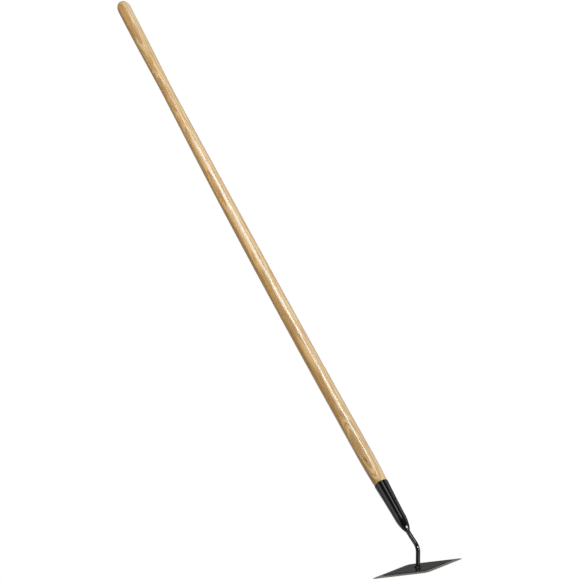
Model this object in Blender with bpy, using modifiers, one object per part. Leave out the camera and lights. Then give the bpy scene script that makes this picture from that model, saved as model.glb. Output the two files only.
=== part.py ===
"""Diamond hoe: a flat ground steel diamond, welded to a bent round neck whose tang is
driven into a turned ash handle, with a long tapered ferrule over the joint.

Metres, +Z up. The origin is the centre of the blade's flat underside. The blade's two
tips lie along X, and the handle leans back along +Y. The plane X = 0 is the tool's
plane of symmetry, apart from the rivet, which is turned a little about the ferrule.
"""
import math

import bmesh
import bpy
from mathutils import Matrix, Vector

GAP = 0.0003                   # between pieces that touch
MERGE = 0.000001

# Blade
BLADE_LENGTH = 0.2338          # tip to tip, corners taken sharp
BLADE_DEPTH = 0.0624           # front to back, corners taken sharp
BLADE_THICKNESS = 0.0023
BLADE_EDGE = 0.0005            # flat left on the ground edge
BLADE_GRIND = 0.0065           # width of the ground band, seen from above
BLADE_CORNER_R = 0.038         # front and back corners
BLADE_TIP_R = 0.0028
CORNER_STEPS = 14
TIP_STEPS = 6

# Neck: one bent rod
ROD_R = 0.0044
SHANK_RISE = 0.0415            # blade's top to the bend's corner point
BEND_R = 0.020
NECK_LEAN = math.radians(54.6)  # from upright, between the bend and the nose
NECK_RUN = 0.0362              # bend's corner point to the swan bend's corner point
SWAN_R = 0.130
NOSE_LEAD = 0.0090             # swan bend's corner point to the ferrule's nose
TANG_LENGTH = 0.100            # measured from the ferrule's nose
TANG_POINT = 0.010

# Handle
HANDLE_LEAN = math.radians(48.53)  # chord of the bowed handle, from upright
HANDLE_REACH = 1.2907           # ferrule's mouth to the butt
HANDLE_BOW = 0.0083
SEAT_DEPTH = 0.0813             # how far the wood goes into the ferrule
BUTT_ROUND = 0.020
BORE_R = ROD_R + GAP
# (distance from the ferrule's mouth, diameter), in millimetres: shoulder, belly,
# waist and swelled butt of the turned profile.
HANDLE_TURNING = (
    (0, 27.0), (4, 28.0), (13, 29.4), (30, 30.6), (50, 31.4), (80, 31.8),
    (200, 31.4), (400, 31.1), (560, 30.4), (720, 29.4), (820, 28.1), (900, 26.8),
    (970, 25.6), (1045, 24.8), (1090, 25.6), (1130, 27.1), (1170, 28.1),
    (1230, 29.0), (1290, 28.8),
)
HANDLE_SIDES_RES = 14          # 32 sides

# Ferrule
FERRULE_LENGTH = 0.1143
FERRULE_MOUTH_R = 0.01475
FERRULE_SHOULDER_R = 0.0116    # where the nose begins
FERRULE_NOSE = 0.029           # length of the rounded nose
FERRULE_TIP_R = 0.0057
FERRULE_WALL = 0.0012
FERRULE_HOLE_R = ROD_R + GAP
FERRULE_STEPS = 36

# Welds
FOOT_WELD_LEG = 0.0027
NOSE_WELD_LEG = 0.0024

# Rivet
RIVET_FROM_MOUTH = 0.0453
RIVET_TURN = math.radians(69)  # about the ferrule's axis, from +X towards its upper side
RIVET_R = 0.0020
RIVET_HOLE_R = 0.0023
RIVET_HEAD_R = 0.0026
RIVET_HEAD_RISE = 0.0010

# The handle's own line at the ferrule, where the bow starts.
FERRULE_LEAN = HANDLE_LEAN + math.atan(4 * HANDLE_BOW / HANDLE_REACH)

WOOD = ((0.62, 0.42, 0.20, 1.0), 0.35, 0.0)
BLACK_ENAMEL = ((0.025, 0.027, 0.029, 1.0), 0.28, 0.0)
BLADE_ENAMEL = ((0.05, 0.052, 0.055, 1.0), 0.38, 0.0)


def leaning(angle):
    """Unit vector in the tool's plane, at this angle from upright, towards +Y."""
    return Vector((0.0, math.sin(angle), math.cos(angle)))


def make_collection(name):
    collection = bpy.data.collections.new(name)
    bpy.context.scene.collection.children.link(collection)
    return collection


def make_material(name, look):
    color, roughness, metallic = look
    material = bpy.data.materials.new(name)
    material.use_nodes = True
    shader = material.node_tree.nodes["Principled BSDF"]
    shader.inputs["Base Color"].default_value = color
    shader.inputs["Roughness"].default_value = roughness
    shader.inputs["Metallic"].default_value = metallic
    material.diffuse_color = color
    return material


def add_object(name, data, collection, parent=None, location=(0, 0, 0), lean=0.0):
    """An object whose own Z is turned from upright to this lean, towards +Y."""
    obj = bpy.data.objects.new(name, data)
    obj.location = location
    obj.rotation_euler = (-lean, 0.0, 0.0)
    collection.objects.link(obj)
    if parent is not None:
        obj.parent = parent
    return obj


def smooth(mesh, degrees=35):
    mesh.shade_smooth()
    mesh.set_sharp_from_angle(angle=math.radians(degrees))


def rod_curve(name, points, radii, resolution, collection, parent, location, lean=0.0):
    """A round bar through the points, with its own radius at each, as a closed mesh."""
    curve = bpy.data.curves.new(name, "CURVE")
    curve.dimensions = "3D"
    curve.bevel_depth = max(radii)
    curve.bevel_resolution = resolution
    curve.use_fill_caps = True
    spline = curve.splines.new("POLY")
    spline.points.add(len(points) - 1)
    for place, at, radius in zip(spline.points, points, radii):
        place.co = (*at, 1.0)
        place.radius = radius / max(radii)
    guide = add_object(name + "_curve", curve, collection, parent, location, lean)
    bpy.context.view_layer.update()
    depsgraph = bpy.context.evaluated_depsgraph_get()
    mesh = bpy.data.meshes.new_from_object(guide.evaluated_get(depsgraph))
    mesh.name = name
    bm = bmesh.new()
    bm.from_mesh(mesh)
    bmesh.ops.remove_doubles(bm, verts=bm.verts, dist=MERGE)
    bmesh.ops.recalc_face_normals(bm, faces=bm.faces)
    bm.to_mesh(mesh)
    bm.free()
    obj = add_object(name, mesh, collection, parent)
    obj.matrix_world = guide.matrix_world.copy()
    bpy.data.objects.remove(guide)
    bpy.data.curves.remove(curve)
    smooth(mesh)
    return obj


def turned(name, profile, steps, closed, collection, parent, location, lean=0.0):
    """A profile of (radius, height) points turned about Z. It runs down its outer side."""
    mesh = bpy.data.meshes.new(name)
    bm = bmesh.new()
    ring = [bm.verts.new((r, 0.0, z)) for r, z in profile]
    for a, b in zip(ring, ring[1:]):
        bm.edges.new((a, b))
    if closed:
        bm.edges.new((ring[-1], ring[0]))
    bm.to_mesh(mesh)
    bm.free()
    obj = add_object(name, mesh, collection, parent, location, lean)
    screw = obj.modifiers.new("turning", "SCREW")
    screw.axis = "Z"
    screw.angle = 2 * math.pi
    screw.steps = steps
    screw.render_steps = steps
    screw.use_merge_vertices = True
    screw.merge_threshold = MERGE
    screw.use_smooth_shade = True
    return obj


def cylinder_cutter(name, radius, length, matrix, collection, sides=24):
    mesh = bpy.data.meshes.new(name)
    bm = bmesh.new()
    bmesh.ops.create_cone(bm, cap_ends=True, segments=sides, radius1=radius,
                          radius2=radius, depth=length)
    bm.to_mesh(mesh)
    bm.free()
    cutter = bpy.data.objects.new(name, mesh)
    collection.objects.link(cutter)
    cutter.matrix_world = matrix
    cutter.display_type = "WIRE"
    cutter.hide_render = True
    return cutter


def cut(obj, cutter):
    boolean = obj.modifiers.new(cutter.name, "BOOLEAN")
    boolean.operation = "DIFFERENCE"
    boolean.solver = "EXACT"
    boolean.object = cutter


def filleted(corners, radii, steps):
    """The corner points with each inner corner replaced by an arc of its radius."""
    out = [corners[0]]
    for before, corner, after, radius, count in zip(
            corners, corners[1:], corners[2:], radii, steps):
        back = (before - corner).normalized()
        ahead = (after - corner).normalized()
        half = back.angle(ahead) / 2
        reach = radius / math.tan(half)
        centre = corner + (back + ahead).normalized() * (radius / math.sin(half))
        start = corner + back * reach - centre
        end = corner + ahead * reach - centre
        turn = start.angle(end)
        for i in range(count + 1):
            w = i / count
            out.append(centre + (start * math.sin((1 - w) * turn)
                                 + end * math.sin(w * turn)) / math.sin(turn))
    out.append(corners[-1])
    return out


def diamond(inset, corner_r, tip_r, z):
    """Outline of the blade, anticlockwise from above, moved in by inset all round."""
    slope = math.atan2(BLADE_DEPTH, BLADE_LENGTH)
    half_x = BLADE_LENGTH / 2 - inset / math.sin(slope)
    half_y = BLADE_DEPTH / 2 - inset / math.cos(slope)
    corners = [Vector((half_x, 0)), Vector((0, half_y)),
               Vector((-half_x, 0)), Vector((0, -half_y))]
    points = []
    for i, corner in enumerate(corners):
        radius, count = (tip_r, TIP_STEPS) if i % 2 == 0 else (corner_r, CORNER_STEPS)
        before, after = corners[i - 1], corners[(i + 1) % 4]
        arc = filleted([before, corner, after], [radius], [count])[1:-1]
        points.extend((p.x, p.y, z) for p in arc)
    return points


def turning_radius(t):
    """Radius of the handle, in metres, t metres from the ferrule's mouth."""
    x = t * 1000.0
    table = HANDLE_TURNING
    n = len(table)
    i = max(0, min(n - 2, sum(1 for a, _ in table[1:] if a <= x)))

    def slope(k):
        lo, hi = max(0, k - 1), min(n - 1, k + 1)
        return (table[hi][1] - table[lo][1]) / (table[hi][0] - table[lo][0])

    (x0, d0), (x1, d1) = table[i], table[i + 1]
    h = x1 - x0
    w = (x - x0) / h
    d = (d0 * (1 + 2 * w) * (1 - w) ** 2 + d1 * w * w * (3 - 2 * w)
         + h * slope(i) * w * (1 - w) ** 2 - h * slope(i + 1) * w * w * (1 - w))
    return d / 2000.0


def ferrule_radius(d):
    """Outer radius of the ferrule, d metres below its mouth."""
    body = FERRULE_LENGTH - FERRULE_NOSE
    if d <= body:
        return FERRULE_SHOULDER_R + (FERRULE_MOUTH_R - FERRULE_SHOULDER_R) * (
            1 - d / body) ** 1.3
    x = min(1.0, (d - body) / FERRULE_NOSE)
    return FERRULE_TIP_R + (FERRULE_SHOULDER_R - FERRULE_TIP_R) * (1 - x ** 1.6) ** 0.75


def build_blade(collection, parent):
    mesh = bpy.data.meshes.new("blade")
    bm = bmesh.new()
    levels = (
        diamond(0.0, BLADE_CORNER_R, BLADE_TIP_R, 0.0),
        diamond(0.0, BLADE_CORNER_R, BLADE_TIP_R, BLADE_EDGE),
        diamond(BLADE_GRIND, BLADE_CORNER_R - BLADE_GRIND, BLADE_TIP_R, BLADE_THICKNESS),
    )
    sheet = bm.faces.new([bm.verts.new(p) for p in levels[0]])
    for level in levels[1:]:
        grown = bmesh.ops.extrude_face_region(bm, geom=[sheet])["geom"]
        if sheet.is_valid and level is not levels[1]:
            bm.faces.remove(sheet)
        sheet = next(g for g in grown if isinstance(g, bmesh.types.BMFace))
        for vert, at in zip(sheet.verts, level):
            vert.co = at
    bmesh.ops.recalc_face_normals(bm, faces=bm.faces)
    bm.to_mesh(mesh)
    bm.free()
    return add_object("blade", mesh, collection, parent)


def build_neck(collection, parent, foot, bend, swan, nose):
    axis = leaning(FERRULE_LEAN)
    tip = nose + axis * TANG_LENGTH
    path = filleted([foot, bend, swan, tip], [BEND_R, SWAN_R], [10, 5])
    # The straight tang gets rings at the nose, at the rivet and along its point.
    tang = [nose + axis * (TANG_LENGTH * f) for f in (0.0, 0.3, 0.6, 0.75)]
    point = [(tip - axis * TANG_POINT, ROD_R), (tip - axis * TANG_POINT * 0.4, ROD_R * 0.8),
             (tip, ROD_R * 0.45)]
    points = [p - foot for p in path[:-1] + tang] + [p - foot for p, _ in point]
    radii = [ROD_R] * (len(path) - 1 + len(tang)) + [r for _, r in point]
    return rod_curve("neck", points, radii, 6, collection, parent, foot)


def build_handle(collection, parent, mouth):
    rake = 4 * HANDLE_BOW / HANDLE_REACH

    def bowed(t):
        x = t / HANDLE_REACH
        return Vector((0.0, 4 * HANDLE_BOW * x * (1 - x), t))

    points, radii = [], []
    seat_axis = Vector((0.0, rake, 1.0)).normalized()
    inner = FERRULE_WALL + GAP
    seat = [(1.0, 0.0025), (0.985, 0.0009), (0.965, 0.0)] + [(f / 10, 0.0) for f in (8, 6, 4, 2, 1)]
    for share, round_off in seat:
        depth = SEAT_DEPTH * share
        points.append(seat_axis * -depth)
        radii.append(ferrule_radius(depth) - inner - round_off)
    # Outside the ferrule: close rings at the shoulder, wider ones along the shaft.
    stations = [0.0, 0.004, 0.009, 0.015, 0.022, 0.031, 0.042, 0.056, 0.075]
    body_end = HANDLE_REACH - BUTT_ROUND
    count = 28
    stations += [0.075 + (body_end - 0.075) * (i + 1) / count for i in range(count)]
    for t in stations:
        points.append(bowed(t))
        radii.append(turning_radius(t))
    for share in (0.25, 0.45, 0.62, 0.76, 0.87, 0.94, 0.98, 1.0):
        t = body_end + BUTT_ROUND * share
        points.append(bowed(t))
        radii.append(max(turning_radius(t) * (1 - share ** 2.2) ** (1 / 2.2), 0.0028))
    return rod_curve("handle", points, radii, HANDLE_SIDES_RES, collection, parent,
                     mouth, HANDLE_LEAN)


def build_ferrule(collection, parent, nose):
    body = FERRULE_LENGTH - FERRULE_NOSE
    depths = [body * i / 12 for i in range(13)]
    depths += [body + FERRULE_NOSE * x for x in (0.1, 0.2, 0.32, 0.44, 0.56, 0.67, 0.77, 0.86, 0.93, 0.98, 1.0)]
    lip = 0.0003
    outer = [(ferrule_radius(0) - lip, FERRULE_LENGTH), (ferrule_radius(lip), FERRULE_LENGTH - lip)]
    outer += [(ferrule_radius(d), FERRULE_LENGTH - d) for d in depths[1:]]
    inner = []
    for d in reversed(depths[:-4]):
        inner.append((ferrule_radius(d) - FERRULE_WALL, FERRULE_LENGTH - d))
    web = 0.0025  # thickness of the nose where the neck goes through
    profile = outer + [(FERRULE_HOLE_R, 0.0), (FERRULE_HOLE_R, web)] + inner
    return turned("ferrule", profile, FERRULE_STEPS, True, collection, parent, nose,
                  FERRULE_LEAN)


def bead(name, inner_r, outer_r, height, collection, parent, location, lean, up=1):
    """A ring of weld: a slightly convex fillet, flat against the face it stands on."""
    steps = 6
    slope = []
    for i in range(steps + 1):
        w = i / steps
        swell = 0.06 * math.sin(math.pi * w)
        slope.append((inner_r + (outer_r - inner_r) * (w + swell),
                      height * (1 - w + swell)))
    if up > 0:
        profile = slope + [(inner_r, 0.0)]
    else:
        profile = [(inner_r, 0.0)] + [(r, -z) for r, z in reversed(slope)]
    return turned(name, profile, 28, True, collection, parent, location, lean)


def build_rivet(collection, parent, centre, direction, reach):
    """A shank with a domed head at each end, about Z, placed along the direction."""
    rim = 0.0002
    dome = [(RIVET_HEAD_R * math.sin(a), reach + rim + (RIVET_HEAD_RISE - rim) * math.cos(a))
            for a in (math.radians(15 * i) for i in range(6))]
    upper = dome + [(RIVET_HEAD_R, reach + rim), (RIVET_HEAD_R, reach), (RIVET_R, reach)]
    profile = upper + [(r, -z) for r, z in reversed(upper)]
    obj = turned("ferrule_rivet", profile, 20, False, collection, parent, centre)
    obj.rotation_euler = direction.to_track_quat("Z", "Y").to_euler()
    return obj


def build():
    for obj in list(bpy.data.objects):
        bpy.data.objects.remove(obj)
    parts = make_collection("diamond_hoe")
    cutters = make_collection("cutters")
    root = bpy.data.objects.new("hoe_origin", None)
    parts.objects.link(root)

    foot = Vector((0.0, 0.0, BLADE_THICKNESS + GAP))
    bend = Vector((0.0, 0.0, BLADE_THICKNESS + SHANK_RISE))
    swan = bend + leaning(NECK_LEAN) * NECK_RUN
    axis = leaning(FERRULE_LEAN)
    nose = swan + axis * NOSE_LEAD
    mouth = nose + axis * FERRULE_LENGTH
    rivet_at = mouth - axis * RIVET_FROM_MOUTH
    upper_side = Vector((0.0, -math.cos(FERRULE_LEAN), math.sin(FERRULE_LEAN)))
    rivet_axis = (Vector((1, 0, 0)) * math.cos(RIVET_TURN)
                  + upper_side * math.sin(RIVET_TURN))

    blade = build_blade(parts, root)
    neck = build_neck(parts, root, foot, bend, swan, nose)
    handle = build_handle(parts, root, mouth)
    ferrule = build_ferrule(parts, root, nose)
    blade_weld = bead("blade_weld", ROD_R + GAP, ROD_R + GAP + FOOT_WELD_LEG,
                      FOOT_WELD_LEG, parts, root, foot, 0.0)
    ferrule_weld = bead("ferrule_weld", ROD_R + GAP, FERRULE_TIP_R + 0.0001,
                        NOSE_WELD_LEG, parts, root, nose - axis * GAP, FERRULE_LEAN, up=-1)
    reach = ferrule_radius(RIVET_FROM_MOUTH) + GAP
    rivet = build_rivet(parts, root, rivet_at, rivet_axis, reach)

    rivet_hole = cylinder_cutter(
        "rivet_hole", RIVET_HOLE_R, 0.05,
        Matrix.Translation(rivet_at) @ rivet_axis.to_track_quat("Z", "Y").to_matrix().to_4x4(),
        cutters)
    # The bore runs from below the seat to just past the tang's point.
    bore_length = TANG_LENGTH + 0.0035
    tang_bore = cylinder_cutter(
        "tang_bore", BORE_R, bore_length,
        Matrix.Translation(nose + axis * (bore_length / 2))
        @ axis.to_track_quat("Z", "Y").to_matrix().to_4x4(),
        cutters)
    cut(handle, tang_bore)
    for drilled in (handle, ferrule, neck):
        cut(drilled, rivet_hole)

    looks = {
        blade: BLADE_ENAMEL, neck: BLACK_ENAMEL, handle: WOOD, ferrule: BLACK_ENAMEL,
        blade_weld: BLACK_ENAMEL, ferrule_weld: BLACK_ENAMEL, rivet: BLACK_ENAMEL,
    }
    for obj, look in looks.items():
        obj.data.materials.append(make_material(obj.name + "_finish", look))


build()
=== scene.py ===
"""Looks of the diamond hoe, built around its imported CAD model.

Metres, +Z up, in the CAD's frame: the blade lies on z = 0 with its tips along X, and the
handle leans back along +Y. Each piece below replaces the CAD node of the same part.
"""
import math

import bmesh
import bpy
from mathutils import Matrix, Quaternion, Vector, noise


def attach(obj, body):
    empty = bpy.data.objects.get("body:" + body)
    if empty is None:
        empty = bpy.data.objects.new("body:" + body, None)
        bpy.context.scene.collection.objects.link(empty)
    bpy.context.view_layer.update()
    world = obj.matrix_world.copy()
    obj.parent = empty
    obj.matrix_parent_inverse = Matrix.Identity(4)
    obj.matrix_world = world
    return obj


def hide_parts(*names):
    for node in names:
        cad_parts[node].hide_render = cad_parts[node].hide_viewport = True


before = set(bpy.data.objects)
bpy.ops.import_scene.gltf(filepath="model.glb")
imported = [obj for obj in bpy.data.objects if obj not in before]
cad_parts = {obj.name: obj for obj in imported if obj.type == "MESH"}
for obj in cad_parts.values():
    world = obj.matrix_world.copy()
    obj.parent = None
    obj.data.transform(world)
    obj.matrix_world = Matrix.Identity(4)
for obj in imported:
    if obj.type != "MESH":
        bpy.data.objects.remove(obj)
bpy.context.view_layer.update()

scene = bpy.context.scene
scene.view_settings.view_transform = "Standard"
scene.view_settings.look = "None"

# ---------------------------------------------------------------- sizes, as in the CAD
GAP = 0.0003

BLADE_LENGTH = 0.2338
BLADE_DEPTH = 0.0624
BLADE_THICKNESS = 0.0023
BLADE_EDGE = 0.0005
BLADE_GRIND = 0.0065
BLADE_CORNER_R = 0.038
BLADE_TIP_R = 0.0028

ROD_R = 0.0044
SHANK_RISE = 0.0415
BEND_R = 0.020
NECK_LEAN = math.radians(54.6)
NECK_RUN = 0.0362
SWAN_R = 0.130
NOSE_LEAD = 0.0090
TANG_LENGTH = 0.100
TANG_POINT = 0.010

HANDLE_LEAN = math.radians(48.53)
HANDLE_REACH = 1.2907
HANDLE_BOW = 0.0083
SEAT_DEPTH = 0.0813
BUTT_ROUND = 0.020
BORE_R = ROD_R + GAP
HANDLE_TURNING = (
    (0, 27.0), (4, 28.0), (13, 29.4), (30, 30.6), (50, 31.4), (80, 31.8),
    (200, 31.4), (400, 31.1), (560, 30.4), (720, 29.4), (820, 28.1), (900, 26.8),
    (970, 25.6), (1045, 24.8), (1090, 25.6), (1130, 27.1), (1170, 28.1),
    (1230, 29.0), (1290, 28.8),
)

FERRULE_LENGTH = 0.1143
FERRULE_MOUTH_R = 0.01475
FERRULE_SHOULDER_R = 0.0116
FERRULE_NOSE = 0.029
FERRULE_TIP_R = 0.0057
FERRULE_WALL = 0.0012
FERRULE_HOLE_R = ROD_R + GAP

FOOT_WELD_LEG = 0.0027
NOSE_WELD_LEG = 0.0024

RIVET_FROM_MOUTH = 0.0453
RIVET_TURN = math.radians(69)
RIVET_R = 0.0020
RIVET_HOLE_R = 0.0023
RIVET_HEAD_R = 0.0026
RIVET_HEAD_RISE = 0.0010

RAKE = 4 * HANDLE_BOW / HANDLE_REACH      # slope of the bow where the handle starts
FERRULE_LEAN = HANDLE_LEAN + math.atan(RAKE)


def leaning(angle):
    return Vector((0.0, math.sin(angle), math.cos(angle)))


FOOT = Vector((0.0, 0.0, BLADE_THICKNESS + GAP))
BEND = Vector((0.0, 0.0, BLADE_THICKNESS + SHANK_RISE))
SWAN = BEND + leaning(NECK_LEAN) * NECK_RUN
AXIS = leaning(FERRULE_LEAN)
NOSE = SWAN + AXIS * NOSE_LEAD
MOUTH = NOSE + AXIS * FERRULE_LENGTH
RIVET_AT = MOUTH - AXIS * RIVET_FROM_MOUTH
RIVET_AXIS = (Vector((1, 0, 0)) * math.cos(RIVET_TURN)
              + Vector((0.0, -math.cos(FERRULE_LEAN), math.sin(FERRULE_LEAN)))
              * math.sin(RIVET_TURN))


def turning_radius(t):
    x = t * 1000.0
    table = HANDLE_TURNING
    n = len(table)
    i = max(0, min(n - 2, sum(1 for a, _ in table[1:] if a <= x)))

    def slope(k):
        lo, hi = max(0, k - 1), min(n - 1, k + 1)
        return (table[hi][1] - table[lo][1]) / (table[hi][0] - table[lo][0])

    (x0, d0), (x1, d1) = table[i], table[i + 1]
    h = x1 - x0
    w = (x - x0) / h
    d = (d0 * (1 + 2 * w) * (1 - w) ** 2 + d1 * w * w * (3 - 2 * w)
         + h * slope(i) * w * (1 - w) ** 2 - h * slope(i + 1) * w * w * (1 - w))
    return d / 2000.0


def ferrule_radius(d):
    body = FERRULE_LENGTH - FERRULE_NOSE
    if d <= body:
        return FERRULE_SHOULDER_R + (FERRULE_MOUTH_R - FERRULE_SHOULDER_R) * (
            1 - max(d, 0.0) / body) ** 1.3
    x = min(1.0, (d - body) / FERRULE_NOSE)
    return FERRULE_TIP_R + (FERRULE_SHOULDER_R - FERRULE_TIP_R) * (1 - x ** 1.6) ** 0.75


def filleted(corners, radii, steps):
    out = [corners[0]]
    for before, corner, after, radius, count in zip(
            corners, corners[1:], corners[2:], radii, steps):
        back = (before - corner).normalized()
        ahead = (after - corner).normalized()
        half = back.angle(ahead) / 2
        reach = radius / math.tan(half)
        centre = corner + (back + ahead).normalized() * (radius / math.sin(half))
        start = corner + back * reach - centre
        end = corner + ahead * reach - centre
        turn = start.angle(end)
        for i in range(count + 1):
            w = i / count
            out.append(centre + (start * math.sin((1 - w) * turn)
                                 + end * math.sin(w * turn)) / math.sin(turn))
    out.append(corners[-1])
    return out


# ---------------------------------------------------------------- mesh helpers
def frame_at(location, lean):
    return Matrix.Translation(location) @ Matrix.Rotation(-lean, 4, "X")


def add_mesh(name, verts, faces, matrix=None):
    mesh = bpy.data.meshes.new(name)
    mesh.from_pydata([tuple(v) for v in verts], [], faces)
    bm = bmesh.new()
    bm.from_mesh(mesh)
    bmesh.ops.remove_doubles(bm, verts=bm.verts, dist=1e-7)
    bmesh.ops.recalc_face_normals(bm, faces=bm.faces)
    bm.to_mesh(mesh)
    bm.free()
    obj = bpy.data.objects.new(name, mesh)
    scene.collection.objects.link(obj)
    if matrix is not None:
        obj.matrix_world = matrix
    return obj


def loft(rings, cap_start=False, cap_end=False, closed=False):
    """Skin over rings of equal length, with fans over the ends or joined into a loop."""
    n = len(rings[0])
    verts = [p for ring in rings for p in ring]
    faces = []
    spans = len(rings) if closed else len(rings) - 1
    for k in range(spans):
        a, b = k * n, ((k + 1) % len(rings)) * n
        for i in range(n):
            j = (i + 1) % n
            faces.append((a + i, a + j, b + j, b + i))
    for wanted, start in ((cap_start, 0), (cap_end, (len(rings) - 1) * n)):
        if wanted:
            centre = sum((Vector(verts[start + i]) for i in range(n)), Vector()) / n
            verts.append(centre)
            for i in range(n):
                faces.append((start + i, start + (i + 1) % n, len(verts) - 1))
    return verts, faces


def ring_of(radius_at, centre, u, v, sides):
    """A closed ring round a centre, in the plane of u and v. radius_at takes the angle."""
    out = []
    for i in range(sides):
        a = 2 * math.pi * i / sides
        r = radius_at(a) if callable(radius_at) else radius_at
        out.append(centre + u * (r * math.cos(a)) + v * (r * math.sin(a)))
    return out


def apply_modifiers(obj):
    bpy.context.view_layer.update()
    depsgraph = bpy.context.evaluated_depsgraph_get()
    mesh = bpy.data.meshes.new_from_object(obj.evaluated_get(depsgraph))
    old = obj.data
    obj.modifiers.clear()
    obj.data = mesh
    mesh.name = obj.name
    bpy.data.meshes.remove(old)


def drill(obj, matrix, radius, length, sides=32):
    """Cuts a round hole, centred on the matrix and along its Z."""
    mesh = bpy.data.meshes.new("drill")
    bm = bmesh.new()
    bmesh.ops.create_cone(bm, cap_ends=True, segments=sides, radius1=radius,
                          radius2=radius, depth=length)
    bm.to_mesh(mesh)
    bm.free()
    cutter = bpy.data.objects.new("drill", mesh)
    scene.collection.objects.link(cutter)
    cutter.matrix_world = matrix
    cut = obj.modifiers.new("drill", "BOOLEAN")
    cut.operation = "DIFFERENCE"
    cut.solver = "EXACT"
    cut.object = cutter
    apply_modifiers(obj)
    bpy.data.objects.remove(cutter)
    bpy.data.meshes.remove(mesh)


def smooth(obj, degrees=35.0):
    obj.data.shade_smooth()
    obj.data.set_sharp_from_angle(angle=math.radians(degrees))


def finish_piece(obj, material, node, degrees=35.0):
    bpy.context.view_layer.update()
    obj.data.transform(obj.matrix_world)
    obj.matrix_world = Matrix.Identity(4)
    obj.data.materials.clear()
    obj.data.materials.append(material)
    smooth(obj, degrees)
    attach(obj, "root")
    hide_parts(node)
    return obj


def point_values(obj, name, values):
    attribute = obj.data.attributes.new(name, "FLOAT", "POINT")
    attribute.data.foreach_set("value", values)


def point_vectors(obj, name, values):
    attribute = obj.data.attributes.new(name, "FLOAT_VECTOR", "POINT")
    attribute.data.foreach_set("vector", [c for v in values for c in v])


RIVET_MATRIX = (Matrix.Translation(RIVET_AT)
                @ RIVET_AXIS.to_track_quat("Z", "Y").to_matrix().to_4x4())


# ---------------------------------------------------------------- shader helpers
class Shader:
    """A material's node tree, with short names for the nodes used here."""

    def __init__(self, name):
        self.material = bpy.data.materials.new(name)
        self.material.use_nodes = True
        self.tree = self.material.node_tree
        self.bsdf = self.tree.nodes["Principled BSDF"]

    def add(self, kind, inputs=(), **settings):
        node = self.tree.nodes.new("ShaderNode" + kind)
        for key, value in settings.items():
            setattr(node, key, value)
        for key, value in dict(inputs).items():
            self.feed(node.inputs[key], value)
        return node

    def feed(self, socket, value):
        if isinstance(value, bpy.types.NodeSocket):
            self.tree.links.new(value, socket)
        else:
            socket.default_value = value

    def set(self, **values):
        for key, value in values.items():
            self.feed(self.bsdf.inputs[key.replace("_", " ")], value)

    def object_coords(self, scale=(1, 1, 1)):
        base = self.add("TexCoord").outputs["Object"]
        return self.scaled(base, scale)

    def scaled(self, vector, scale):
        return self.add("VectorMath", {0: vector, 1: scale}, operation="MULTIPLY").outputs[0]

    def attribute(self, name, output="Fac"):
        return self.add("Attribute", attribute_name=name).outputs[output]

    def noise(self, vector, scale=1.0, detail=2.0, roughness=0.5, distortion=0.0):
        return self.add("TexNoise", {"Vector": vector, "Scale": scale, "Detail": detail,
                                     "Roughness": roughness, "Distortion": distortion}
                        ).outputs[0]

    def math(self, operation, a, b=0.0, c=0.0, clamp=False):
        return self.add("Math", {0: a, 1: b, 2: c}, operation=operation,
                        use_clamp=clamp).outputs[0]

    def map(self, value, lo, hi, to_lo=0.0, to_hi=1.0, smooth=False):
        return self.add("MapRange", {0: value, 1: lo, 2: hi, 3: to_lo, 4: to_hi},
                        interpolation_type="SMOOTHSTEP" if smooth else "LINEAR"
                        ).outputs[0]

    def ramp(self, value, stops, mode="LINEAR"):
        node = self.add("ValToRGB", {0: value})
        node.color_ramp.interpolation = mode
        elements = node.color_ramp.elements
        while len(elements) > 1:
            elements.remove(elements[-1])
        elements[0].position = stops[0][0]
        elements[0].color = (*stops[0][1], 1.0)
        for at, color in stops[1:]:
            elements.new(at).color = (*color, 1.0)
        return node.outputs[0]

    def mix(self, fac, a, b, blend="MIX"):
        def full(c):
            return c if isinstance(c, bpy.types.NodeSocket) else (*c, 1.0)
        return self.add("Mix", {0: fac, 6: full(a), 7: full(b)}, data_type="RGBA",
                        blend_type=blend).outputs[2]

    def mix_value(self, fac, a, b):
        return self.add("Mix", {0: fac, 2: a, 3: b}, data_type="FLOAT").outputs[0]

    def bump(self, height, distance, strength=1.0, normal=None):
        inputs = {"Height": height, "Distance": distance, "Strength": strength}
        if normal is not None:
            inputs["Normal"] = normal
        return self.add("Bump", inputs).outputs[0]


# ---------------------------------------------------------------- varnished ash
RING_AXIS = math.radians(-142)     # which way the bark lay, in the handle's own frame
# The heart side is also the shaded side: its browner tone is partly real, partly painted shade.
HEART_AND_SHADE_SIDE = (-0.79, 0.61, 0.0)    # towards the browner side, in the same frame
WOOD_EARLY = (0.54, 0.378, 0.192)
WOOD_MIDDLE = (0.685, 0.522, 0.312)
WOOD_LATE = (0.77, 0.620, 0.408)
# Heart side tone: partly the heartwood's colour, partly painted shade.
WOOD_HEART_AND_SHADE = (0.93, 0.69, 0.27)
PITH_AWAY = 62.0                   # millimetres from the handle's middle to the pith
# Where the grain swells out of line along the handle: place and half-width in metres
# from the ferrule's mouth, height in millimetres. They make the long pointed arches.
GRAIN_SWELLS = (
    (0.035, 0.060, 3.2), (0.110, 0.055, 4.6), (0.215, 0.080, -1.5), (0.330, 0.070, 1.4),
    (0.470, 0.080, -1.0), (0.575, 0.050, 2.4), (0.648, 0.040, 1.8), (0.730, 0.060, 2.6),
    (0.800, 0.055, 2.8), (0.885, 0.045, 3.2), (0.955, 0.040, -1.6), (1.025, 0.050, 3.6),
    (1.130, 0.070, -1.4), (1.215, 0.060, 2.2),
)


def bow_offset(t):
    if t < 0.0:
        return RAKE * t
    x = t / HANDLE_REACH
    return 4 * HANDLE_BOW * x * (1 - x)


def grain_swell(t):
    return sum(h * math.exp(-((t - at) / w) ** 2) for at, w, h in GRAIN_SWELLS)


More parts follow.
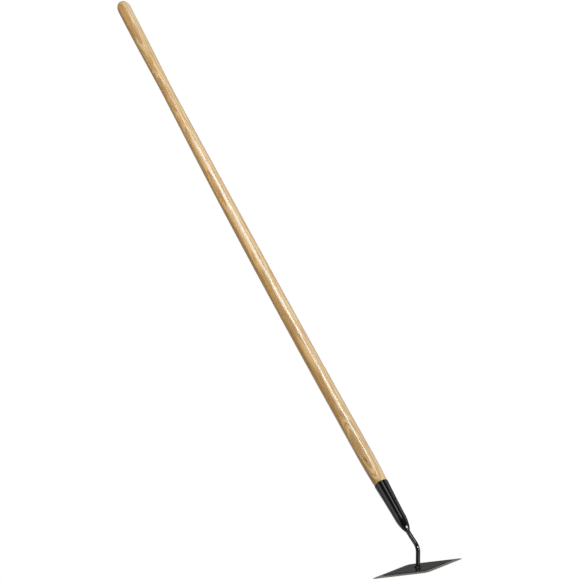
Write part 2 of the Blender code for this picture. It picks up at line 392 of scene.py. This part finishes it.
def wood_material():
    s = Shader("varnished_ash")
    rings = s.attribute("ring_mm")
    place = s.attribute("wood", "Vector")
    # Slow wander of the rings, and short fibres that feather their edges.
    wander = s.noise(s.scaled(place, (60, 60, 6.0)), detail=2.0)
    feather = s.noise(s.scaled(place, (380, 380, 18)), detail=2.0, roughness=0.55)
    fibre = s.noise(s.scaled(place, (520, 520, 22)), detail=2.0, roughness=0.5)
    depth = s.math("ADD", rings, s.map(wander, 0.3, 0.7, -1.0, 1.0))
    depth = s.math("ADD", depth, s.map(feather, 0.25, 0.75, -0.45, 0.45))
    # Good years and lean years: the rings aren't all the same width.
    depth = s.math("ADD", depth, s.math("MULTIPLY", s.math(
        "SINE", s.math("MULTIPLY", rings, 1.05)), 0.75))
    phase = s.math("FRACT", s.math("MULTIPLY", depth, 1 / 2.9))
    tone = s.ramp(phase, (
        (0.00, WOOD_EARLY), (0.26, WOOD_EARLY), (0.52, WOOD_MIDDLE), (0.78, WOOD_LATE),
        (0.92, WOOD_LATE), (1.00, WOOD_EARLY),
    ))
    # One side of the stick is nearer the heart, and browner. It is also the side turned away from
    # the lights, so its darker, browner tone is partly the heartwood and partly painted shade.
    side = s.add("VectorMath", {0: place, 1: HEART_AND_SHADE_SIDE}, operation="DOT_PRODUCT").outputs["Value"]
    side = s.math("ADD", side, s.map(wander, 0.3, 0.7, -0.004, 0.004))
    heart_and_shade = s.map(side, -0.009, 0.016, 0.0, 1.0, smooth=True)
    tone = s.mix(heart_and_shade, tone, s.mix(1.0, tone, WOOD_HEART_AND_SHADE, "MULTIPLY"))
    # Near the ferrule's mouth the heart side is darker still, and the other side is lighter: that
    # lighter tone is painted light on the lit side, where the varnish's sheen runs down to the
    # ferrule.
    down = s.add("SeparateXYZ", {0: place}).outputs[2]
    low = s.map(down, 0.0, 0.085, 1.0, 0.0)
    tone = s.mix(s.math("MULTIPLY", low, s.map(heart_and_shade, 0.45, 1.0)), tone,
                 s.mix(1.0, tone, (0.66, 0.64, 0.62), "MULTIPLY"))
    # Painted light: the lit side near the mouth is made lighter.
    tone = s.mix(s.math("MULTIPLY", low, s.map(heart_and_shade, 0.60, 0.20)), tone,
                 s.mix(1.0, tone, (1.17, 1.16, 1.15), "MULTIPLY"))
    # Its upper middle has a paler stretch on the heart side.
    upper = s.math("MULTIPLY", s.map(down, 0.66, 0.74), s.map(down, 1.06, 0.96))
    tone = s.mix(s.math("MULTIPLY", upper, s.map(heart_and_shade, 0.55, 0.95)), tone,
                 s.mix(1.0, tone, (1.17, 1.20, 1.28), "MULTIPLY"))
    # Mottle: short bundles of fibre, some browner, some a little pink.
    mottle = s.noise(s.scaled(place, (240, 240, 36)), detail=2.0, roughness=0.5)
    tone = s.mix(s.map(mottle, 0.48, 0.72, 0.0, 0.55), tone,
                 s.mix(1.0, tone, (0.80, 0.69, 0.55), "MULTIPLY"))
    pink = s.noise(s.add("VectorMath", {0: s.scaled(place, (210, 210, 30)), 1: (7.0, 3.0, 1.0)},
                         operation="ADD").outputs[0], detail=2.0)
    tone = s.mix(s.map(pink, 0.52, 0.72, 0.0, 0.5), tone,
                 s.mix(1.0, tone, (1.06, 0.90, 0.92), "MULTIPLY"))
    tone = s.mix(s.map(fibre, 0.32, 0.70, 0.0, 0.55), tone,
                 s.mix(1.0, tone, (0.84, 0.76, 0.64), "MULTIPLY"))
    # Open pores of the early wood, as short dark dashes along the grain.
    pores = s.noise(s.scaled(place, (1700, 1700, 60)), detail=1.0)
    early = s.map(phase, 0.05, 0.42, 1.0, 0.0)
    dash = s.math("MULTIPLY", s.map(pores, 0.58, 0.68), early)
    tone = s.mix(s.math("MULTIPLY", dash, 0.24), tone, (0.25, 0.13, 0.05))
    # A small pin knot near the ferrule, with its grain drawn out along the stick.
    fleck = s.attribute("fleck")
    edge = s.math("ADD", fleck, s.map(feather, 0.2, 0.8, -0.2, 0.2))
    tone = s.mix(s.map(edge, 0.35, 0.90, 0.0, 0.85), tone, (0.13, 0.060, 0.022))
    # The varnish is duller there too.
    s.set(Base_Color=tone, Coat_Weight=1.0, Coat_IOR=1.40,
          Coat_Roughness=s.map(down, 0.03, 0.13, 0.15, 0.06))
    s.bsdf.inputs["Specular IOR Level"].default_value = 0.06
    s.set(Roughness=s.map(fibre, 0.3, 0.7, 0.38, 0.52))
    grain = s.math("ADD", s.math("MULTIPLY", fibre, 0.6), s.math("MULTIPLY", dash, -0.8))
    s.set(Normal=s.bump(grain, 0.00005, 0.5))
    return s.material


def build_handle():
    sides = 96

    def lie(t):
        """Centre and cross axes of the stick at t."""
        slope = RAKE if t < 0 else RAKE * (1 - 2 * t / HANDLE_REACH)
        along = Vector((0.0, slope, 1.0)).normalized()
        return (Vector((0.0, bow_offset(t), t)), Vector((1.0, 0.0, 0.0)),
                Vector((0.0, along.z, -along.y)))

    def uneven(t):
        """A turned and sanded stick is out of round by some hundredths of a millimetre."""
        def at(angle, base):
            n = noise.noise(Vector((math.cos(angle) * 0.8, math.sin(angle) * 0.8, t * 14)))
            return base - 0.00006 + 0.000015 * n
        return at

    profile = []
    body_end = HANDLE_REACH - BUTT_ROUND
    for i in range(1, 25):            # the domed butt, closer rings towards its middle
        a = math.pi / 2 * i / 24
        share = math.cos(a) ** (2 / 2.2)
        t = body_end + BUTT_ROUND * share
        profile.append((t, max(turning_radius(t) * math.sin(a) ** (2 / 2.2), 0.0004)))
    stations = [0.0, 0.0015, 0.003, 0.005, 0.0075, 0.010, 0.013, 0.016, 0.020, 0.024, 0.028]
    count = 300
    stations += [0.028 + (body_end - 0.028) * (i + 1) / count for i in range(count - 1)]
    profile += [(t, turning_radius(t)) for t in reversed(stations)]
    inner = FERRULE_WALL + GAP
    for f in (0.03, 0.1, 0.2, 0.4, 0.6, 0.8, 0.9, 0.965, 0.985, 1.0):
        off = {0.985: 0.0009, 1.0: 0.0025}.get(f, 0.0)
        depth = SEAT_DEPTH * f
        profile.append((-depth, ferrule_radius(depth) - inner - off))
    # The blind bore for the tang.
    bore_end = -(FERRULE_LENGTH - TANG_LENGTH - 0.0035)
    for f in (0.0, 0.25, 0.5, 0.75, 1.0):
        profile.append((-SEAT_DEPTH + (SEAT_DEPTH + bore_end) * f, BORE_R))

    rings = []
    for t, r in profile:
        centre, u, v = lie(t)
        at = uneven(t)
        wobble = t > 0.0 and r > 0.006
        rings.append(ring_of((lambda a, r=r, at=at: at(a, r)) if wobble else r,
                             centre, u, v, sides))
    verts, faces = loft(rings, cap_start=True, cap_end=True)
    obj = add_mesh("handle_wood", verts, faces, frame_at(MOUTH, HANDLE_LEAN))
    drill(obj, RIVET_MATRIX, RIVET_HOLE_R, 0.05)

    ca, sa = math.cos(RING_AXIS), math.sin(RING_AXIS)
    ring_mm, wood, fleck = [], [], []
    knot_t, knot_angle = 0.0535, math.radians(-140)
    for vert in obj.data.vertices:
        x, y, t = vert.co.x, vert.co.y - bow_offset(vert.co.z), vert.co.z
        p = (x * ca + y * sa) * 1000
        q = (-x * sa + y * ca) * 1000
        depth = math.hypot(PITH_AWAY + p, q) - PITH_AWAY
        r = math.hypot(x, y)
        off = math.atan2(y, x) - knot_angle
        off = (off + math.pi) % (2 * math.pi) - math.pi
        du, dt = off * r / 0.0019, (t - knot_t) / 0.0058
        near = math.exp(-(du * du + dt * dt))
        tail = math.exp(-((off * r + (t - knot_t) * 0.05) / 0.0016) ** 2
                        - ((t - knot_t - 0.009) / 0.009) ** 2)
        near = min(1.0, near + 0.55 * tail)
        wide = math.exp(-((off * r / 0.006) ** 2 + ((t - knot_t) / 0.03) ** 2))
        ring_mm.append(depth + grain_swell(t) + 1.6 * wide)
        wood.append((x, y, t))
        fleck.append(near)
    point_values(obj, "ring_mm", ring_mm)
    point_values(obj, "fleck", fleck)
    point_vectors(obj, "wood", wood)
    return finish_piece(obj, wood_material(), "handle", 40)


# ---------------------------------------------------------------- black enamel
def enamel_material(name, base, roughness, peel):
    """Stoved enamel: near black, glossy, with a slight orange peel and fine dust."""
    s = Shader(name)
    here = s.object_coords()
    cloud = s.noise(s.scaled(here, (60, 60, 60)), detail=3.0)
    dust = s.noise(s.scaled(here, (1900, 1900, 1900)), detail=2.0)
    shade = s.mix(s.map(cloud, 0.3, 0.7), base, tuple(c * 1.6 for c in base))
    shade = s.mix(s.map(dust, 0.68, 0.80, 0.0, 0.35), shade, (0.05, 0.05, 0.048))
    rough = s.math("ADD", s.map(cloud, 0.3, 0.7, roughness * 0.8, roughness * 1.25),
                   s.map(dust, 0.66, 0.8, 0.0, 0.12))
    s.set(Base_Color=shade, Roughness=rough, IOR=1.52)
    orange = s.noise(s.scaled(here, (520, 520, 520)), detail=1.0)
    s.set(Normal=s.bump(orange, peel, 0.5))
    return s.material


def build_ferrule(material):
    body = FERRULE_LENGTH - FERRULE_NOSE
    depths = [0.0006 + (body - 0.0006) * (i / 60) for i in range(61)]
    depths += [body + FERRULE_NOSE * (math.sin(math.pi / 2 * i / 36)) for i in range(1, 37)]
    lip = 0.0003
    outer = []
    for i in range(7):                # rounded lip of the mouth
        a = math.pi / 2 * i / 6
        outer.append((ferrule_radius(0) - lip * (1 - math.sin(a)),
                      FERRULE_LENGTH - lip * (1 - math.cos(a))))
    outer += [(ferrule_radius(d), FERRULE_LENGTH - d) for d in depths]
    inner = [(ferrule_radius(d) - FERRULE_WALL, FERRULE_LENGTH - d)
             for d in reversed(depths[:-8:3])]
    inner.append((ferrule_radius(0) - FERRULE_WALL, FERRULE_LENGTH - 0.0002))
    inner.append((ferrule_radius(0) - FERRULE_WALL + 0.0002, FERRULE_LENGTH))
    profile = outer + [(FERRULE_HOLE_R, 0.0), (FERRULE_HOLE_R, 0.0025)] + inner
    sides = 96
    u, v = Vector((1, 0, 0)), Vector((0, 1, 0))
    rings = []
    for k, (r, z) in enumerate(profile):
        outside = 6 < k < len(outer) - 2

        def radius(a, r=r, z=z, outside=outside):
            if not outside:
                return r
            # The socket is drawn and hammered to its taper, so it isn't perfectly round.
            n = noise.noise(Vector((math.cos(a) * 1.1, math.sin(a) * 1.1, z * 45 + 3.0)))
            return r + 0.00003 * n
        rings.append(ring_of(radius, Vector((0, 0, z)), u, v, sides))
    verts, faces = loft(rings, closed=True)
    obj = add_mesh("ferrule_socket", verts, faces, frame_at(NOSE, FERRULE_LEAN))
    drill(obj, RIVET_MATRIX, RIVET_HOLE_R, 0.05)
    return finish_piece(obj, material, "ferrule", 32)


def build_neck(material):
    tip = NOSE + AXIS * TANG_LENGTH
    path = filleted([FOOT, BEND, SWAN, tip], [BEND_R, SWAN_R], [40, 24])
    start = path[0] + (path[1] - path[0]) * 0.0
    points = [(start, ROD_R - 0.0003), (start + Vector((0, 0, 0.0003)), ROD_R)]
    straight = path[1] - path[0]
    points += [(path[0] + straight * f, ROD_R) for f in (0.2, 0.4, 0.6, 0.8)]
    points += [(p, ROD_R) for p in path[1:-1]]
    last = path[-2]
    end = tip - AXIS * TANG_POINT
    points += [(last.lerp(end, f), ROD_R) for f in (0.1, 0.3, 0.5, 0.7, 0.9, 1.0)]
    points += [(tip - AXIS * TANG_POINT * f, ROD_R * r)
               for f, r in ((0.7, 0.93), (0.4, 0.80), (0.15, 0.60), (0.0, 0.45))]
    sides = 64
    rings = []
    side = Vector((1, 0, 0))
    for k, (p, r) in enumerate(points):
        before = points[max(0, k - 1)][0]
        after = points[min(len(points) - 1, k + 1)][0]
        along = (after - before).normalized()
        rings.append(ring_of(r, p, side, along.cross(side), sides))
    verts, faces = loft(rings, cap_start=True, cap_end=True)
    obj = add_mesh("neck_rod", verts, faces)
    drill(obj, RIVET_MATRIX, RIVET_HOLE_R, 0.03)
    return finish_piece(obj, material, "neck", 40)


def build_bead(name, node, inner_r, outer_r, height, matrix, down, ripples, material):
    """A fillet weld: a fat ring with the ripples of a hand-laid bead, enamelled over."""
    sides, steps = 128, 14
    rings = []
    for i in range(steps + 1):
        w = i / steps

        def point(a, w=w):
            step = math.sin(a * ripples + 1.3 * math.sin(a * 3.0))
            wave = (0.5 + 0.5 * step) ** 1.5
            toe = 0.5 + 0.5 * noise.noise(Vector((math.cos(a) * 1.7, math.sin(a) * 1.7, 4.1)))
            swell = math.sin(math.pi * w)
            grow = 0.03 * swell + 0.045 * swell * (wave - 0.5)
            r = inner_r + (outer_r - inner_r) * min(1.0, w * (0.94 + 0.06 * toe) + grow)
            z = height * min(1.0, max(0.0, 1 - w + grow))
            return r, z
        ring = []
        for k in range(sides):
            a = 2 * math.pi * k / sides
            r, z = point(a)
            ring.append(Vector((r * math.cos(a), r * math.sin(a), -z if down else z)))
        rings.append(ring)
    base = [Vector((inner_r * math.cos(2 * math.pi * k / sides),
                    inner_r * math.sin(2 * math.pi * k / sides), 0.0)) for k in range(sides)]
    verts, faces = loft(rings + [base], closed=True)
    obj = add_mesh(name, verts, faces, matrix)
    return finish_piece(obj, material, node, 50)


def build_rivet(material):
    reach = ferrule_radius(RIVET_FROM_MOUTH) + GAP
    rim = 0.0002
    upper = [(RIVET_HEAD_R * math.sin(a), reach + rim + (RIVET_HEAD_RISE - rim) * math.cos(a))
             for a in (math.radians(6 * i) for i in range(1, 16))]
    upper += [(RIVET_HEAD_R, reach + 0.00005), (RIVET_HEAD_R - 0.00005, reach), (RIVET_R, reach)]
    profile = upper + [(r, -z) for r, z in reversed(upper)]
    u, v = Vector((1, 0, 0)), Vector((0, 1, 0))
    rings = [ring_of(r, Vector((0, 0, z)), u, v, 48) for r, z in profile]
    verts, faces = loft(rings, cap_start=True, cap_end=True)
    obj = add_mesh("ferrule_rivet_heads", verts, faces, RIVET_MATRIX)
    return finish_piece(obj, material, "ferrule_rivet", 35)


# ---------------------------------------------------------------- blade
def diamond(inset, corner_r, tip_r, corner_steps, tip_steps, side_steps):
    """Outline moved in by inset, anticlockwise, with each straight side divided."""
    slope = math.atan2(BLADE_DEPTH, BLADE_LENGTH)
    half_x = BLADE_LENGTH / 2 - inset / math.sin(slope)
    half_y = BLADE_DEPTH / 2 - inset / math.cos(slope)
    corners = [Vector((half_x, 0)), Vector((0, half_y)),
               Vector((-half_x, 0)), Vector((0, -half_y))]
    arcs = []
    for i, corner in enumerate(corners):
        radius, count = (tip_r, tip_steps) if i % 2 == 0 else (corner_r, corner_steps)
        arcs.append(filleted([corners[i - 1], corner, corners[(i + 1) % 4]],
                             [radius], [count])[1:-1])
    points = []
    for i, arc in enumerate(arcs):
        points += arc
        a, b = arc[-1], arcs[(i + 1) % 4][0]
        points += [a.lerp(b, k / side_steps) for k in range(1, side_steps)]
    return points


def blade_material():
    """Glossy dark enamel on top. The ground band is bare steel, scratched across by the
    wheel, with the enamel's edge a little ragged and specks of rust on the very edge."""
    s = Shader("blade_enamel")
    here = s.object_coords()
    inset = s.attribute("inset_mm")
    along = s.attribute("along_mm")
    cloud = s.noise(s.scaled(here, (45, 45, 45)), detail=3.0)
    dust = s.noise(s.scaled(here, (1500, 1500, 1500)), detail=2.0)
    paint = s.mix(s.map(cloud, 0.3, 0.7), (0.0075, 0.008, 0.0085), (0.013, 0.0135, 0.014))
    paint = s.mix(s.map(dust, 0.70, 0.82, 0.0, 0.4), paint, (0.05, 0.05, 0.05))

    lines = s.add("CombineXYZ", {0: s.math("MULTIPLY", along, 2.2),
                                 1: s.math("MULTIPLY", inset, 0.35)}).outputs[0]
    scratch = s.noise(lines, detail=3.0, roughness=0.7)
    steel = s.ramp(scratch, ((0.25, (0.26, 0.256, 0.248)), (0.5, (0.38, 0.374, 0.364)),
                             (0.75, (0.52, 0.512, 0.498))))
    patch = s.noise(s.scaled(here, (240, 240, 240)), detail=3.0)
    rust_mask = s.math("MULTIPLY", s.map(patch, 0.30, 0.60, 0.45, 1.0, smooth=True),
                       s.map(inset, 0.45, 1.25, 1.0, 0.0))
    steel = s.mix(rust_mask, steel, s.mix(s.map(patch, 0.50, 0.66), (0.46, 0.35, 0.22),
                                          (0.56, 0.30, 0.10)))

    ragged = s.noise(s.scaled(here, (700, 700, 700)), detail=3.0)
    edge = s.math("ADD", inset, s.map(ragged, 0.25, 0.75, -0.45, 0.45))
    bare = s.map(edge, 5.85, 6.05, 1.0, 0.0)
    s.set(Base_Color=s.mix(bare, paint, steel),
          Metallic=s.math("MULTIPLY", bare, s.map(rust_mask, 0.0, 1.0, 0.55, 0.20)),
          Roughness=s.mix_value(bare, s.map(cloud, 0.3, 0.7, 0.09, 0.14),
                                s.map(scratch, 0.3, 0.7, 0.40, 0.58)),
          IOR=1.52)
    relief = s.mix_value(bare, s.math("MULTIPLY", s.noise(s.scaled(here, (480, 480, 480)),
                                                        detail=1.0), 0.25), scratch)
    s.set(Normal=s.bump(relief, 0.00004, 0.2))
    return s.material


def build_blade(material):
    def outline(inset, z, lift=0.0):
        r = BLADE_CORNER_R - inset
        return [Vector((p.x, p.y, z + lift)) for p in
                diamond(inset, r, BLADE_TIP_R * min(1.0, (29.5e-3 - inset) / 10e-3), 32, 10, 40)]

    grind = 0.226
    rings = [outline(2.0e-3, 0.0), outline(0.12e-3, 0.0), outline(1e-6, 0.08e-3),
             outline(1e-6, BLADE_EDGE - 0.06e-3)]
    insets = [2.0, 0.12, 0.0, 0.0]
    for inset in (0.12e-3, 0.6e-3, 1.2e-3, 2.0e-3, 3.0e-3, 4.0e-3, 5.0e-3, 5.7e-3, 6.2e-3):
        rings.append(outline(inset, BLADE_EDGE + grind * inset))
        insets.append(inset * 1000)
    # The blade is a little rolled down above the ground band.
    for inset, drop in ((6.8e-3, 0.33e-3), (7.6e-3, 0.245e-3), (8.6e-3, 0.15e-3),
                        (9.8e-3, 0.065e-3), (11.0e-3, 0.015e-3)):
        rings.append(outline(inset, BLADE_THICKNESS - drop))
        insets.append(inset * 1000)
    for inset in (12.5e-3, 15.0e-3, 19.0e-3, 23.0e-3, 27.5e-3):
        rings.append(outline(inset, BLADE_THICKNESS))
        insets.append(inset * 1000)
    n = len(rings[0])
    rings.insert(0, outline(27.5e-3, 0.0))
    insets.insert(0, 27.5)
    verts, faces = loft(rings, cap_start=True, cap_end=True)
    mesh = bpy.data.meshes.new("blade_steel")
    mesh.from_pydata([tuple(v) for v in verts], [], faces)
    obj = bpy.data.objects.new("blade_steel", mesh)
    scene.collection.objects.link(obj)
    # Distances for the shader: in from the outline, and along it.
    first = rings[3]
    run, total = [0.0], 0.0
    for a, b in zip(first, first[1:]):
        total += (b - a).length * 1000
        run.append(total)
    inset_mm = [value for value in insets for _ in range(n)] + [30.0, 30.0]
    along_mm = [run[i] for _ in insets for i in range(n)] + [0.0, 0.0]
    point_values(obj, "inset_mm", inset_mm)
    point_values(obj, "along_mm", along_mm)
    bm = bmesh.new()
    bm.from_mesh(mesh)
    bmesh.ops.recalc_face_normals(bm, faces=bm.faces)
    bm.to_mesh(mesh)
    bm.free()
    return finish_piece(obj, material, "blade", 12)


# ---------------------------------------------------------------- the tool
black = enamel_material("black_enamel", (0.0030, 0.0032, 0.0035), 0.065, 0.000012)
weld_black = enamel_material("black_enamel_on_weld", (0.0040, 0.0042, 0.0045), 0.09, 0.00003)

handle = build_handle()
ferrule = build_ferrule(black)
neck = build_neck(black)
blade = build_blade(blade_material())
blade_bead = build_bead("blade_weld_bead", "blade_weld", ROD_R + GAP,
                        ROD_R + GAP + FOOT_WELD_LEG, FOOT_WELD_LEG,
                        Matrix.Translation(FOOT), False, 17, weld_black)
nose_bead = build_bead("ferrule_weld_bead", "ferrule_weld", ROD_R + GAP,
                       FERRULE_TIP_R + 0.0001, NOSE_WELD_LEG,
                       frame_at(NOSE - AXIS * GAP, FERRULE_LEAN), True, 15, weld_black)
rivet = build_rivet(black)


# ---------------------------------------------------------------- floor
def build_floor():
    size = 14.0
    obj = add_mesh("floor", [(-size, -size, -0.0002), (size, -size, -0.0002),
                             (size, size, -0.0002), (-size, size, -0.0002)],
                   [(0, 1, 2, 3)])
    s = Shader("pale_floor")
    s.set(Base_Color=(0.0, 0.0, 0.0, 1.0), Roughness=0.9,
          Emission_Color=(1.0, 1.0, 1.0, 1.0), Emission_Strength=1.0)
    s.bsdf.inputs["Specular IOR Level"].default_value = 0.0
    # Its underside is clear, so the tool can be seen from below too.
    under = s.add("MixShader", {0: s.add("NewGeometry").outputs["Backfacing"],
                                1: s.bsdf.outputs[0], 2: s.add("BsdfTransparent").outputs[0]})
    s.tree.links.new(under.outputs[0], s.tree.nodes["Material Output"].inputs["Surface"])
    obj.data.materials.append(s.material)
    obj.visible_diffuse = False
    obj.visible_glossy = False
    obj.visible_shadow = False
    return obj


build_floor()


# ---------------------------------------------------------------- studio light
class Surround(Shader):
    """The studio's walls, as bright and dark areas round the object."""

    def __init__(self):
        self.world = bpy.data.worlds.new("studio")
        self.world.use_nodes = True
        self.tree = self.world.node_tree
        self.direction = self.add("TexCoord").outputs["Generated"]

    def towards(self, vector):
        unit = Vector(vector).normalized()
        return self.add("VectorMath", {0: self.direction, 1: tuple(unit)},
                        operation="DOT_PRODUCT").outputs["Value"]

    def patch(self, vector, inner, outer):
        """1 within inner degrees of a direction, 0 beyond outer degrees."""
        return self.map(self.towards(vector), math.cos(math.radians(outer)),
                        math.cos(math.radians(inner)), smooth=True)

    def times(self, *factors):
        out = factors[0]
        for factor in factors[1:]:
            out = self.math("MULTIPLY", out, factor)
        return out

    def total(self, *parts):
        out = parts[0]
        for part in parts[1:]:
            out = self.math("ADD", out, part)
        return out


def build_surround():
    w = Surround()
    up = w.towards((0, 0, 1))
    # What the enamel and the varnish mirror: a white wall on the left, a dark front, pale
    # floor low on the right and low behind on the left.
    left_wall = w.times(w.map(w.towards((-0.95, 0.31, 0.0)), 0.50, 0.90, smooth=True),
                        w.map(w.towards((0, 1, 0)), 0.00, 0.12, smooth=True),
                        w.map(up, 0.66, 0.50, smooth=True),
                        w.map(up, -0.12, 0.02, smooth=True), 1.20)
    left_low = w.times(w.map(w.towards((-0.87, 0.50, 0.0)), 0.12, 0.42, smooth=True),
                       w.map(up, 0.04, -0.10, smooth=True), 0.34)
    behind_low = w.times(w.map(w.towards((-0.42, 0.906, 0.0)), 0.72, 0.84, smooth=True),
                         w.map(up, -0.34, -0.40, smooth=True), 0.45)
    right_low = w.times(w.map(w.towards((0.656, -0.755, 0.0)), 0.45, 0.58, smooth=True),
                        w.map(up, 0.30, 0.14, smooth=True),
                        w.map(up, -0.75, -0.50, smooth=True),
                        w.map(w.towards((0, 1, 0)), -0.80, -0.30, 1.0, 0.10), 1.00)
    front_low = w.times(w.map(w.towards((0.30, -0.954, 0.0)), 0.45, 0.95),
                        w.map(up, -0.24, -0.29, smooth=True),
                        w.map(up, -0.42, -0.36, smooth=True), 0.60)
    right_strip = w.times(w.patch((0.80, 0.02, 0.60), 14, 27),
                          w.map(w.towards((0.0, 0.765, 0.643)), 0.45, 0.39, smooth=True), 0.78)
    far_wall = w.times(w.patch((0.574, 0.754, 0.319), 5, 10),
                       w.map(up, 0.02, 0.14, smooth=True), 0.24)
    ceiling = w.times(w.map(up, 0.42, 0.80, smooth=True), 0.05)
    mirrored = w.total(left_wall, left_low, behind_low, right_low, front_low, right_strip,
                       far_wall, ceiling, 0.035)
    # What lights matt surfaces: the same room with its brightness spread out.
    spread = w.total(w.times(w.map(up, -0.6, 0.8), 0.33),
                     w.times(w.map(w.towards((-0.95, -0.31, 0.0)), 0.0, 1.0), 0.24),
                     w.times(w.map(w.towards((0.40, 0.91, 0.1)), 0.55, 1.0), 0.60),
                     w.times(w.map(w.towards((0.56, 0.83, 0.0)), 0.1, 1.0), 0.36),
                     w.times(w.map(w.towards((0.82, -0.57, 0.0)), 0.0, 1.0), 0.20), 0.12)
    rays = w.add("LightPath")
    level = w.mix_value(rays.outputs["Is Diffuse Ray"], mirrored, spread)
    lit = w.add("Background", {"Strength": level, "Color": (1, 1, 1, 1)})
    plain = w.add("Background", {"Strength": 1.0, "Color": (1, 1, 1, 1)})
    both = w.add("MixShader", {0: rays.outputs["Is Camera Ray"], 1: lit.outputs[0],
                               2: plain.outputs[0]})
    out = w.tree.nodes.get("World Output") or w.add("OutputWorld")
    w.tree.links.new(both.outputs[0], out.inputs["Surface"])
    scene.world = w.world


build_surround()


def softbox(name, location, target, size_x, size_y, radiance, color=(1, 1, 1), roll=0.0):
    """A soft light of a known brightness, facing its target."""
    light = bpy.data.lights.new(name, "AREA")
    light.shape = "RECTANGLE"
    light.size, light.size_y = size_x, size_y
    light.energy = radiance * math.pi * size_x * size_y
    light.color = color
    obj = bpy.data.objects.new(name, light)
    scene.collection.objects.link(obj)
    obj.location = location
    aim = (Vector(target) - Vector(location)).normalized()
    obj.rotation_mode = "QUATERNION"
    obj.rotation_quaternion = (aim.to_track_quat("-Z", "Y")
                               @ Quaternion((0, 0, 1), math.radians(roll)))
    obj.visible_camera = False
    return obj


def shines_on(light, *objects):
    """Keeps a light off everything but these objects, as a flag beside it would."""
    lit = bpy.data.collections.new(light.name + "_lights")
    for obj in objects:
        lit.objects.link(obj)
    light.light_linking.receiver_collection = lit


overhead = softbox("overhead", (-0.14, 0.07, 2.0), (-0.14, 0.07, 0.0), 0.54, 0.94, 9.7,
                   (0.96, 0.98, 1.0), roll=-9.0)
shines_on(overhead, handle, ferrule, neck, blade_bead, nose_bead, rivet)
softbox("overhead_low", (-0.45, -0.68, 2.0), (-0.45, -0.68, 0.0), 0.62, 0.50, 2.7,
        (0.96, 0.98, 1.0))
softbox("key", (0.95, -1.70, 1.30), (0.0, 0.40, 0.45), 0.55, 0.55, 13.5, (1.0, 0.94, 0.85))
# Reflectors that only show as highlights on the varnish and the enamel.
for name, at, wide, high, radiance, color in (
        ("nose_card", (-0.32, -1.78, 1.22), 0.95, 0.44, 34.0, (1.0, 0.92, 0.83)),
        ("bend_card", (0.12, -2.07, 0.64), 0.50, 0.27, 36.0, (1.0, 0.84, 0.66)),
        ("front_card", (0.60, -1.60, 1.45), 0.90, 0.36, 3.5, (1.0, 1.0, 1.0))):
    card = softbox(name, at, (0.0, 0.0, 0.06), wide, high, radiance, color)
    card.visible_diffuse = False
    shines_on(card, ferrule, neck, nose_bead, blade_bead)
# And some round the overhead light, for its streak and the pale sheen beside it. The two
# for the streak hang a little lower, because lights in one plane hide each other.
for name, x, y, wide, deep, radiance in (
        ("streak", -0.16, 0.07, 0.50, 0.94, 1.6), ("sheen_low", -0.46, 0.00, 0.14, 0.50, 6.5),
        ("sheen_near", -0.57, 0.47, 0.36, 0.52, 10.5), ("sheen_far", -0.91, 0.47, 0.34, 0.52, 4.8)):
    card = softbox(name, (x, y, 1.97 if name == "streak" else 2.0), (x, y, 0.0), wide, deep,
                   radiance, (0.70, 0.86, 1.0), roll=-9.0)
    card.visible_diffuse = False
    if name == "streak":
        shines_on(card, handle, ferrule, neck, blade_bead, nose_bead, rivet)
    else:
        shines_on(card, handle)
# The streak is whiter than the wood round it, so it has some more blue.
card = softbox("streak_cool", (-0.21, 0.07, 1.94), (-0.21, 0.07, 0.0), 0.46, 0.96, 5.2,
               (0.12, 0.55, 1.0), roll=-9.0)
card.visible_diffuse = False
shines_on(card, handle)

# ---------------------------------------------------------------- camera
CAMERA_AZIMUTH = math.radians(-34.76)
CAMERA_ELEVATION = math.radians(13.37)
back = Vector((math.sin(CAMERA_AZIMUTH) * math.cos(CAMERA_ELEVATION),
               -math.cos(CAMERA_AZIMUTH) * math.cos(CAMERA_ELEVATION),
               math.sin(CAMERA_ELEVATION)))
camera_data = bpy.data.cameras.new("camera")
camera_data.lens = 188.56
camera_data.sensor_width = 36.0
camera_data.clip_start, camera_data.clip_end = 0.1, 100.0
camera = bpy.data.objects.new("camera", camera_data)
scene.collection.objects.link(camera)
camera.location = (-3.4631, -4.5472, 1.9228)
camera.rotation_mode = "QUATERNION"
camera.rotation_quaternion = (-back).to_track_quat("-Z", "Y")
scene.camera = camera

bpy.context.view_layer.update()
